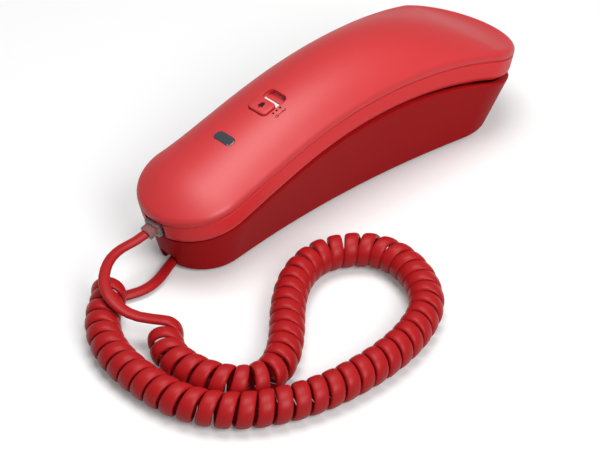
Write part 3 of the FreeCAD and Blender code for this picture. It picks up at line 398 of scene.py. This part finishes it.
# Curly cord
# A flat tinsel cord in soft red vinyl, wound hot into left-handed curls. It leaves the handset's
# plug, crosses over its own end, and goes back under the base to the second plug.
curl_across = 0.0148
curl_turns = 59.5
curl_rise = 0.0001
band_width = 0.0063
band_thickness = 0.0026
lead_width = 0.0046
band_share = 0.96
side_squareness = 0.75
face_squareness = 0.85
section_points = 14
points_per_turn = 16
axis_steps = 24
line_steps = 2
width_ease = 10
turn_ease = 2
cord_sharp = math.radians(50)
curl_route = [(39, -132), (46, -138.5), (56, -141), (67, -139.8), (77, -136.2), (84.8, -129.6),
              (87, -119.6), (82.2, -108.6), (72.6, -97.2), (60.6, -85.6), (50, -71), (46, -55.5),
              (51, -42.5), (60, -33.5), (72.5, -31), (87, -35), (100.5, -44.5), (108, -61),
              (111, -78), (110.8, -94.5), (109, -110), (104, -126), (96.3, -139.5), (86.5, -149),
              (73.5, -155.5), (57, -157.5), (40, -156.7), (27.5, -153), (17.5, -147),
              (10.5, -139.8), (7, -134.2), (2, -130.5)]
upper_route = [(0, -108.4, 22.5), (-0.3, -113.6, 21.2), (-1.6, -119.8, 20.6), (-0.3, -126.6, 20.2),
               (3.6, -133, 19.6), (9.4, -138.6, 18.9), (16.4, -141.8, 17.8), (23.4, -141.6, 15.6),
               (29.6, -138.4, 13.2)]
lower_route = [(6, -121.9, 2.1), (7.5, -116.6, 2.1), (7.2, -111, 2.1), (5.6, -105.6, 2.1),
               (3.2, -100.2, 2.3), (1.3, -94.6, 2.8), (0.3, -89.4, 4.0), (0, -85.2, 5.6),
               (0, -81.8, 6.7), (0, -78.7, 7.05)]
mm = 0.001


def spline_points(name, controls, steps):
    """Points along the smooth spline that a route's points steer."""
    curve = bpy.data.curves.new(name, "CURVE")
    curve.dimensions = "3D"
    spline = curve.splines.new("NURBS")
    spline.points.add(len(controls) - 1)
    for point, place in zip(spline.points, controls):
        point.co = (*place, 1)
    spline.order_u = 3
    spline.use_endpoint_u = True
    curve.resolution_u = steps
    holder = bpy.data.objects.new(name, curve)
    line = bpy.data.meshes.new_from_object(holder)
    points = [vertex.co.copy() for vertex in line.vertices]
    bpy.data.objects.remove(holder)
    bpy.data.meshes.remove(line)
    return points


curl_radius = (curl_across - band_thickness) / 2
curl_level = curl_across / 2 + curl_rise
axis = spline_points("curl_axis", [(x * mm, y * mm, curl_level) for x, y in curl_route], axis_steps)
runs = [0.0]
for before, point in zip(axis, axis[1:]):
    runs.append(runs[-1] + (point - before).length)
up = Vector((0, 0, 1))


def on_axis(share):
    """The place and the direction of the curls' axis at a share of its length."""
    distance = min(max(share, 0.0), 1.0) * runs[-1]
    index = next(i for i, run in enumerate(runs) if run >= distance)
    index = max(index, 1)
    part = (distance - runs[index - 1]) / (runs[index] - runs[index - 1])
    way = (axis[index] - axis[index - 1]).normalized()
    return axis[index - 1].lerp(axis[index], part), way


helix = []
steps = round(curl_turns * points_per_turn)
for step in range(steps + 1):
    middle, way = on_axis(step / steps)
    turn = 2 * math.pi * step / points_per_turn
    helix.append(middle + curl_radius * (up * math.cos(turn) + up.cross(way) * math.sin(turn)))
upper = [Vector(place) * mm for place in upper_route]
lower = [Vector(place) * mm for place in lower_route]
line = spline_points("cord_line", upper + helix + lower, line_steps)

nearby = kdtree.KDTree(len(axis))
for index, point in enumerate(axis):
    nearby.insert(point, index)
nearby.balance()
ways = [(after - before).normalized() for before, after in zip(line[:1] + line, line[1:] + line[-1:])]
first_curl = min(range(len(line)), key=lambda i: (line[i] - helix[0]).length)
last_curl = min(range(len(line)), key=lambda i: (line[i] - helix[-1]).length)
per_turn = round((last_curl - first_curl) / curl_turns)
wides = []
widths = []
for index, (point, way) in enumerate(zip(line, ways)):
    wide = up.cross(way)
    width = lead_width
    if index < first_curl:
        wide = -wide
    elif index <= last_curl:
        found = nearby.find(point)[1]
        wide = axis[min(found + 1, len(axis) - 1)] - axis[max(found - 1, 0)]
        behind = line[max(index - per_turn, first_curl)]
        ahead = line[min(index + per_turn, last_curl)]
        steps_apart = min(index + per_turn, last_curl) - max(index - per_turn, first_curl)
        width = min(band_width, band_share * (ahead - behind).length * per_turn / steps_apart)
    wides.append((wide - way * wide.dot(way)).normalized())
    widths.append(width)
rings = []
for index, (point, way) in enumerate(zip(line, ways)):
    around = widths[max(index - width_ease, 0):index + width_ease + 1]
    width = sum(around) / len(around)
    wide = sum(wides[max(index - turn_ease, 0):index + turn_ease + 1], Vector())
    wide = (wide - way * wide.dot(way)).normalized()
    thin = way.cross(wide)
    ring = []
    for corner in range(section_points):
        turn = 2 * math.pi * corner / section_points
        across = math.copysign(abs(math.cos(turn)) ** side_squareness, math.cos(turn)) * width / 2
        out = math.copysign(abs(math.sin(turn)) ** face_squareness, math.sin(turn)) * band_thickness / 2
        ring.append(point + wide * across + thin * out)
    rings.append(ring)
vinyl = satin_plastic("cord_vinyl", (0.36, 0.006, 0.008, 1), (0.43, 0.009, 0.011, 1), 0.42,
                      grain=0.0008, Specular_IOR_Level=0.25)


def cord_piece(name, stretch):
    """A closed tube of the cord's flat section through a stretch of its rings."""
    faces = []
    last = (len(stretch) - 1) * section_points
    for low in range(0, last, section_points):
        high = low + section_points
        for corner in range(section_points):
            other = (corner + 1) % section_points
            faces.append((low + corner, low + other, high + other, high + corner))
    faces.append(tuple(reversed(range(section_points))))
    faces.append(tuple(range(last, last + section_points)))
    mesh = bpy.data.meshes.new(name)
    mesh.from_pydata([place for ring in stretch for place in ring], [], faces)
    piece = bpy.data.objects.new(name, mesh)
    bpy.context.collection.objects.link(piece)
    only(piece)
    bpy.ops.object.mode_set(mode="EDIT")
    bpy.ops.mesh.select_all(action="SELECT")
    bpy.ops.mesh.normals_make_consistent(inside=False)
    bpy.ops.object.mode_set(mode="OBJECT")
    bpy.ops.object.shade_smooth_by_angle(angle=cord_sharp)
    mesh.materials.append(vinyl.material)
    return piece


# The lead runs from the handset's plug to the first curl and is baked in place. A way and a
# length for drawing it out are worked out, but nothing uses them.
lead_line = line[:first_curl + 1]
lead = cord_piece("cord_lead", rings[:first_curl + 1])
stretch_turn = math.radians(38)
stretch_way = Vector((-math.sin(stretch_turn), math.cos(stretch_turn), 0))
stretch_start = Vector((lead_line[-1].x, lead_line[-1].y, 0))
stretch = (lead_line[0] - lead_line[-1]).dot(stretch_way)
stretch_start + stretch_way * stretch
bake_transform(lead)
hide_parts("cord_handset_lead")
curls_line = line[first_curl:]
curls = cord_piece("cord", rings[first_curl:])
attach(curls, "base")
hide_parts("cord_curls", "cord_base_lead")

# Ringer switch
# A red tile slides in a rounded opening over a white body; a red apron covers the floor's far end.
# A small bell is printed on the tile, and dots with plain numbers beside the opening.
switch_angle = 12.7
switch_top = 22.6 * mm
switch_width = 0.011
slot_length = 0.0148
switch_sink = 0.0032
knob_length = 0.008
knob_travel = 0.006
knob_proud = 0.0006
slide_clearance = 0.0004
knob_corner = 0.0021
knob_edge = 0.0007
apron_length = 0.0034
apron_height = 0.0003
apron_corner = 0.0010
apron_edge = 0.00008
apron_margin = 0.0001
dot_x = 0.0067
dot_pitch = 0.0021
dot_radius = 0.0005
figure_x = 0.0088
figure_height = 0.0027
clapper_y = -0.00165
clapper_radius = 0.00042
print_height = 0.00003
surface_steps = 4


def arch_frame(angle, limb=0.0):
    """The place on the arch at an angle: X across, Y along it to the far end, Z out of it."""
    turn = math.radians(angle)
    along = arch_crest - arch_radius * math.sin(turn) - limb * math.cos(turn)
    high = arch_height - arch_radius * (1 - math.cos(turn)) - limb * math.sin(turn)
    return Matrix.Translation((0, along * mm, high * mm)) @ Matrix.Rotation(turn, 4, "X")


def tile(name, width, length, height, corner, edge, place):
    """A tablet with rounded corners and softened edges, standing on a place."""
    deselect()
    bpy.ops.mesh.primitive_plane_add(size=1)
    piece = bpy.context.object
    piece.name = name
    piece.scale = (width, length, 1)
    bpy.ops.object.transform_apply(location=False, rotation=False, scale=True)
    bpy.ops.object.mode_set(mode="EDIT")
    bpy.ops.mesh.select_all(action="SELECT")
    bpy.ops.mesh.bevel(offset=corner, segments=7, affect="VERTICES")
    bpy.ops.mesh.select_all(action="SELECT")
    bpy.ops.mesh.extrude_region_move(TRANSFORM_OT_translate={"value": (0, 0, height)})
    bpy.ops.mesh.select_all(action="SELECT")
    bpy.ops.mesh.normals_make_consistent(inside=False)
    bpy.ops.object.mode_set(mode="OBJECT")
    soften = piece.modifiers.new("soften", "BEVEL")
    soften.width = edge
    soften.segments = 4
    soften.angle_limit = math.radians(60)
    bpy.ops.object.modifier_apply(modifier="soften")
    bpy.ops.object.shade_smooth_by_angle(angle=math.radians(40))
    piece.data.transform(place)
    return piece


def printed(name, outline, place, ink, body):
    """A thin printed mark with an outline in metres, on a place and riding on a body."""
    mesh = bpy.data.meshes.new(name)
    mesh.from_pydata([(x, y, 0) for x, y in outline], [], [tuple(range(len(outline)))])
    piece = bpy.data.objects.new(name, mesh)
    bpy.context.collection.objects.link(piece)
    only(piece)
    bpy.ops.object.mode_set(mode="EDIT")
    bpy.ops.mesh.select_all(action="SELECT")
    bpy.ops.mesh.extrude_region_move(TRANSFORM_OT_translate={"value": (0, 0, print_height)})
    bpy.ops.mesh.select_all(action="SELECT")
    bpy.ops.mesh.normals_make_consistent(inside=False)
    bpy.ops.object.mode_set(mode="OBJECT")
    mesh.transform(place)
    mesh.materials.append(ink.material)
    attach(piece, body)
    return piece


def number_print(name, text, height, place, ink, body):
    """A printed figure, centred on a place."""
    deselect()
    bpy.ops.object.text_add()
    piece = bpy.context.object
    piece.name = name
    piece.data.body = text
    piece.data.size = height
    piece.data.extrude = print_height
    piece.data.align_x = "CENTER"
    piece.data.align_y = "CENTER"
    piece.data.resolution_u = 3
    bpy.ops.object.convert(target="MESH")
    piece = bpy.context.object
    piece.data.transform(place)
    piece.data.materials.clear()
    piece.data.materials.append(ink.material)
    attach(piece, body)
    return piece


def on_back(frame_place, x, y):
    """The place on the handset's back over a point of a frame, with Z out of the surface."""
    out = frame_place.to_3x3() @ Vector((0, 0, 1))
    spot = frame_place @ Vector((x, y, switch_top))
    for step in range(surface_steps):
        spot = spot - out * (handset_shape(*(spot * 1000)) * mm)
    slope = form_slope(handset_shape, *(spot * 1000))
    along = frame_place.to_3x3() @ Vector((0, 1, 0))
    along = (along - slope * along.dot(slope)).normalized()
    turn = Matrix((along.cross(slope), along, slope)).transposed().to_4x4()
    return Matrix.Translation(spot) @ turn


def disc(radius, y=0.0, sides=20):
    turns = [2 * math.pi * side / sides for side in range(sides)]
    return [(radius * math.cos(turn), y + radius * math.sin(turn)) for turn in turns]


switch_place = arch_frame(switch_angle)
knob_level = switch_top - switch_sink + slide_clearance
knob_place = switch_place @ Matrix.Translation((0, -knob_travel / 2, knob_level))
knob_height = switch_sink + knob_proud - slide_clearance
knob = tile("ringer_tile", switch_width - 2 * slide_clearance, knob_length, knob_height, knob_corner,
            knob_edge, knob_place)
knob.data.materials.append(red.material)
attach(knob, "ringer_slider")
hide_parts("ringer_knob")
white = satin_plastic("white_plastic", (0.80, 0.80, 0.79, 1), (0.86, 0.86, 0.85, 1), 0.45)
welded("ringer_switch_body", white)
apron_y = (slot_length - apron_length) / 2 - apron_margin
apron = tile("switch_apron", switch_width - apron_margin, apron_length, apron_height, apron_corner,
             apron_edge, switch_place @ Matrix.Translation((0, apron_y, switch_top - switch_sink)))
apron.data.materials.append(red.material)
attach(apron, "handset")
ink = satin_plastic("dark_ink", (0.030, 0.006, 0.007, 1), (0.040, 0.010, 0.011, 1), 0.6,
                    Specular_IOR_Level=0.1)
half_bell = [(0.0, 1.7), (0.38, 1.55), (0.86, 1.15), (1.02, 0.5), (1.10, -0.35), (1.50, -0.85),
             (1.50, -1.15), (0.0, -1.15)]
bell = [(x * mm, y * mm) for x, y in half_bell]
bell += [(-x, y) for x, y in bell[-2:0:-1]]
tile_top = knob_place @ Matrix.Translation((0, 0, knob_height))
printed("bell_print", bell, tile_top, ink, "ringer_slider")
printed("clapper_print", disc(clapper_radius, clapper_y), tile_top, ink, "ringer_slider")
for figure in range(3):
    along = -knob_travel / 2 + dot_pitch * figure
    dot_place = on_back(switch_place, dot_x, along)
    printed(f"switch_dot_{figure}", disc(dot_radius), dot_place, ink, "handset")
    figure_place = on_back(switch_place, figure_x, along)
    number_print(f"switch_figure_{figure}", str(figure), figure_height, figure_place, ink, "handset")

# Lamp window
# A smoked lens, polished, sits flush in the handset's back; a red lamp stands behind it.
smoke = satin_plastic("smoked_lens", (0.030, 0.036, 0.048, 1), (0.045, 0.053, 0.068, 1), 0.14,
                      grain=0.002, edge=0.0004, Coat_Weight=0.6, Coat_Roughness=0.05)
welded("lamp_lens", smoke, edge=0.0003)
epoxy = satin_plastic("red_epoxy", (0.55, 0.03, 0.02, 1), (0.65, 0.05, 0.03, 1), 0.15, grain=0.002)
welded("lamp", epoxy)

# Sockets and plugs
# The cord ends in two clear moulded plugs. Each shows four gilt contact blades and the flat cord's
# end inside; the sockets, and the line socket in the base, are black.
handset_plug_place = (0, -0.0235, 0.0029)
base_plug_place = (0, -0.072016, 0)
plug_edge = 0.0003
blade_pitch = 0.00125
blade_width = 0.0005
blade_length = 0.0042
blade_height = 0.0024
blade_corner = 0.0001
blade_edge = 0.00005
blade_setback = 0.0030
blade_sink = 0.0025
core_short = 0.0062
core_setback = 0.0028
core_sink = 0.0044
core_corner = 0.0005
core_edge = 0.0006
black = satin_plastic("black_plastic", (0.012, 0.012, 0.013, 1), (0.020, 0.020, 0.021, 1), 0.42)
for socket in ("handset_socket", "base_cord_socket", "line_socket", "ringer"):
    welded(socket, black)
clear = Finish("clear_plastic", Roughness=0.06, Transmission_Weight=0.9, IOR=1.45)
milk = clear.noise(0.004)
clear.set(Base_Color=clear.mixed(milk, (0.88, 0.89, 0.90, 1), (0.96, 0.96, 0.97, 1)))
clear.bump(milk, 0.06, 0.0001)
gilt = Finish("gilt_contact", Metallic=1.0)
wear = gilt.noise(0.0008)
gilt.set(Base_Color=gilt.mixed(wear, (0.72, 0.50, 0.20, 1), (0.84, 0.62, 0.28, 1)),
         Roughness=0.22 + 0.15 * wear)
near_place = arch_frame(near_angle, near_limb)


def run_length(points):
    return sum((after - before).length for before, after in zip(points, points[1:]))


plug_spots = {"handset_plug": ("handset", near_place @ Matrix.Translation(handset_plug_place)),
              "base_plug": ("base", Matrix.Translation(base_plug_place))}
cords = {"handset_plug": (lead, lead_line, lead_width),
         "base_plug": (curls, curls_line, band_width)}
for plug, (body, mouth) in plug_spots.items():
    shell = welded(plug, clear, edge=plug_edge)
    corners = [mouth.inverted() @ vertex.co for vertex in shell.data.vertices]
    top = max(corner.z for corner in corners)
    front = max(corner.y for corner in corners)
    rear = min(corner.y for corner in corners)
    for side in range(4):
        spot = ((side - 1.5) * blade_pitch, front - blade_setback, top - blade_sink)
        blade = tile(f"{plug}_blade_{side}", blade_width, blade_length, blade_height, blade_corner,
                     blade_edge, mouth @ Matrix.Translation(spot))
        blade.data.materials.append(gilt.material)
        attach(blade, body)
    spot = (0, (front + rear) / 2 - core_setback, top - core_sink)
    core = tile(f"{plug}_cord_end", lead_width, front - rear - core_short, band_thickness, core_corner,
                core_edge, mouth @ Matrix.Translation(spot))
    core.data.materials.append(vinyl.material)
    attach(core, body)
    piece, path, wide = cords[plug]
    run_length(path)

# Keys
# Fifteen satin off-white keys stand through the handset's face. Twelve carry dialling figures; the
# three in the row nearest the mouthpiece are bare.
keypad_angle = 8.6
key_edge = 0.00025
face_half_width = 0.0045
face_half_length = 0.0035
key_figure_height = 0.0048
star_height = 0.0062
ivory = satin_plastic("key_plastic", (0.76, 0.75, 0.72, 1), (0.84, 0.83, 0.80, 1), 0.38, edge=0.0003)
key_place = arch_frame(keypad_angle)
seen_from_below = Matrix(((-1, 0, 0, 0), (0, 1, 0, 0), (0, 0, -1, 0), (0, 0, 0, 1)))
figures = {"star": "*", "hash": "#"}
for node in sorted(slot_of):
    if slot_of[node] != "key_plastic":
        continue
    key = welded(node, ivory, edge=key_edge)
    name = node.split("_")[1]
    figure = figures.get(name, name)
    if len(figure) > 1:
        continue
    corners = [key_place.inverted() @ vertex.co for vertex in key.data.vertices]
    low = min(corner.z for corner in corners)
    middle_x = (max(c.x for c in corners) + min(c.x for c in corners)) / 2
    middle_y = (max(c.y for c in corners) + min(c.y for c in corners)) / 2
    face = [corner.z for corner in corners if abs(corner.x - middle_x) < face_half_width and
            abs(corner.y - middle_y) < face_half_length]
    level = min(face) if face else low
    figure_place = key_place @ Matrix.Translation((middle_x, middle_y, level)) @ seen_from_below
    number_print(f"{node}_figure", figure, star_height if figure == "*" else key_figure_height,
                 figure_place, ink, node)

# Inside and underneath
# Silicone mat and boot, foam ring, plated loudspeaker and microphone, green boards, zinc-plated
# screws and spring, a steel weight and black rubber feet, each as such parts are finished.
silicone = satin_plastic("grey_silicone", (0.48, 0.48, 0.48, 1), (0.56, 0.56, 0.56, 1), 0.62)
foam = satin_plastic("black_foam", (0.03, 0.03, 0.03, 1), (0.07, 0.07, 0.07, 1), 0.9, grain=0.0006)
rubber = satin_plastic("foot_rubber", (0.020, 0.020, 0.020, 1), (0.035, 0.035, 0.035, 1), 0.75,
                       edge=0.0004)
laminate = Finish("green_laminate", Roughness=0.35)
tracks = laminate.node("ShaderNodeTexBrick", output="Fac", Vector=laminate.place(), Scale=160.0)
laminate.set(Base_Color=laminate.mixed(tracks, (0.02, 0.16, 0.06, 1), (0.05, 0.26, 0.10, 1)))
laminate.bump(tracks, 0.2, 0.00003)


def plated(name, deep, light, rough):
    """Plated steel: cloudy tone and fine rubbed roughness."""
    finish = Finish(name, Metallic=1.0)
    cloud = finish.noise(0.003)
    rub = finish.noise(0.0003)
    finish.set(Base_Color=finish.mixed(cloud, deep, light), Roughness=rough + 0.15 * (rub - 0.5))
    finish.bump(rub, 0.05, 0.00002)
    return finish


zinc = plated("zinc_plate", (0.55, 0.56, 0.58, 1), (0.68, 0.69, 0.70, 1), 0.30)
steel = plated("plain_steel", (0.34, 0.34, 0.35, 1), (0.44, 0.44, 0.45, 1), 0.42)
inner = {"silicone": silicone, "foam": foam, "foot_rubber": rubber, "board": laminate,
         "screw_steel": zinc, "speaker_metal": steel, "capsule_metal": zinc, "weight_steel": steel}
for node in sorted(slot_of):
    if slot_of[node] in inner:
        welded(node, inner[slot_of[node]])
welded("hook_switch", white)

# Screw recesses
# Each plated screw head has a cold-pressed cross recess. It is not cut into the head; instead its
# shade is painted as a thin dark cross set into the head's top. This shows under the phone and in
# the wells of the handset's face.
near_base_screw = (0.0095, -0.046016)
far_base_screw = (0.013, 0.058983)
near_handset_screw = (0.014, 0.009)
far_handset_screw = (0.0155, 0.0)
far_screw_angle = -8.5
head_reach = 0.0035
recess_length = 0.0028
recess_width = 0.0006
recess_depth = 0.00002
recess_corner = 0.0001
recess_edge = 0.000005
recess_turn = 20
# Painted shade of the cross recesses: a dark plated finish on thin flat bars.
shade = plated("recess_shade", (0.05, 0.05, 0.05, 1), (0.08, 0.08, 0.08, 1), 0.5)
level_place = Matrix.Identity(4)
heads = []
for side in (-1, 1):
    for body, seat, (x, y) in (("base", level_place, near_base_screw),
                               ("base", level_place, far_base_screw),
                               ("handset", near_place, near_handset_screw),
                               ("handset", arch_frame(far_screw_angle), far_handset_screw)):
        heads.append((body, seat @ Matrix.Translation((side * x, y, 0))))
for index, (body, place) in enumerate(heads):
    screws = frame["nodes"][f"{body}_screws"].data.vertices
    near_axis = [place.inverted() @ vertex.co for vertex in screws]
    level = min(spot.z for spot in near_axis if math.hypot(spot.x, spot.y) < head_reach)
    for bar, turn in enumerate((0, 90)):
        turned = Matrix.Rotation(math.radians(turn + recess_turn), 4, "Z")
        recess = tile(f"{body}_screw_{index}_slot_{bar}", recess_length, recess_width, recess_depth,
                      recess_corner, recess_edge,
                      place @ Matrix.Translation((0, 0, level - recess_depth)) @ turned)
        recess.data.materials.append(shade.material)
        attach(recess, body)

# Studio
# A white sweep under one wide soft light over the phone, a second one at the right and a pale
# room. Seen directly the paper is whitened a little, so that it keeps only a soft grey shade, and
# from underneath it is clear, so that the phone's underside shows.
floor_size = 6.0
floor_drop = 0.0002
whitening = 0.12
room_strength = 0.26
deselect()
bpy.ops.mesh.primitive_plane_add(size=floor_size, location=(0, 0, -floor_drop))
floor = bpy.context.object
floor.name = "floor"
paper = Finish("white_paper", Roughness=0.6)
lit = paper.node("ShaderNodeEmission", Color=(1, 1, 1, 1), Strength=1.0)
rays = paper.node("ShaderNodeLightPath").socket.node
seen = Value(paper.tree, rays.outputs["Is Camera Ray"])
for ray in ("Is Glossy Ray", "Is Transmission Ray"):
    seen = seen + Value(paper.tree, rays.outputs[ray])
paper.set(Base_Color=paper.mixed(seen, (0.22, 0.22, 0.22, 1), (0.93, 0.93, 0.93, 1)))
whitened = paper.tree.nodes.new("ShaderNodeMixShader")
paper.feed(whitened.inputs[0], whitening * seen)
paper.tree.links.new(paper.shader.outputs[0], whitened.inputs[1])
paper.tree.links.new(lit.socket, whitened.inputs[2])
below = paper.node("ShaderNodeNewGeometry", output="Backfacing")
open_below = paper.tree.nodes.new("ShaderNodeMixShader")
paper.feed(open_below.inputs[0], below)
paper.tree.links.new(whitened.outputs[0], open_below.inputs[1])
paper.feed(open_below.inputs[2], paper.node("ShaderNodeBsdfTransparent"))
paper.tree.links.new(open_below.outputs[0], paper.tree.nodes["Material Output"].inputs["Surface"])
floor.data.materials.append(paper.material)


def soft_light(name, place, aim, size, power):
    lamp = bpy.data.lights.new(name, "AREA")
    lamp.size = size
    lamp.energy = power
    holder = bpy.data.objects.new(name, lamp)
    bpy.context.collection.objects.link(holder)
    holder.location = place
    holder.rotation_euler = (Vector(aim) - Vector(place)).to_track_quat("-Z", "Y").to_euler()


soft_light("overhead", (-0.05, 0.0, 1.2), (0, -0.02, 0.03), 0.7, 9.0)
soft_light("right", (0.95, -0.25, 0.85), (0, 0, 0.03), 0.6, 10.0)
world = bpy.data.worlds.new("pale_room")
world.use_nodes = True
bpy.context.scene.world = world
room = world.node_tree
background = room.nodes["Background"]
background.inputs["Color"].default_value = (1, 1, 1, 1)
background.inputs["Strength"].default_value = room_strength

# Camera
# It stands where the photograph was taken from, and its aim sets the phone's place in the frame.
azimuth = math.radians(45.864)
elevation = math.radians(36.945)
distance = 0.9061
aim_right = -0.01416
aim_up = -0.02352
right = Vector((math.cos(azimuth), math.sin(azimuth), 0))
back = Vector((math.sin(azimuth) * math.cos(elevation), -math.cos(azimuth) * math.cos(elevation),
               math.sin(elevation)))
upward = back.cross(right)
lens = bpy.data.cameras.new("camera")
lens.sensor_width = 36
lens.lens = 121.64
lens.clip_start = 0.05
camera = bpy.data.objects.new("camera", lens)
bpy.context.collection.objects.link(camera)
turn = Matrix((right, upward, back)).transposed().to_4x4()
camera.matrix_world = Matrix.Translation(back * distance + right * aim_right + upward * aim_up) @ turn
bpy.context.scene.camera = camera
bpy.context.scene.view_settings.view_transform = "Standard"
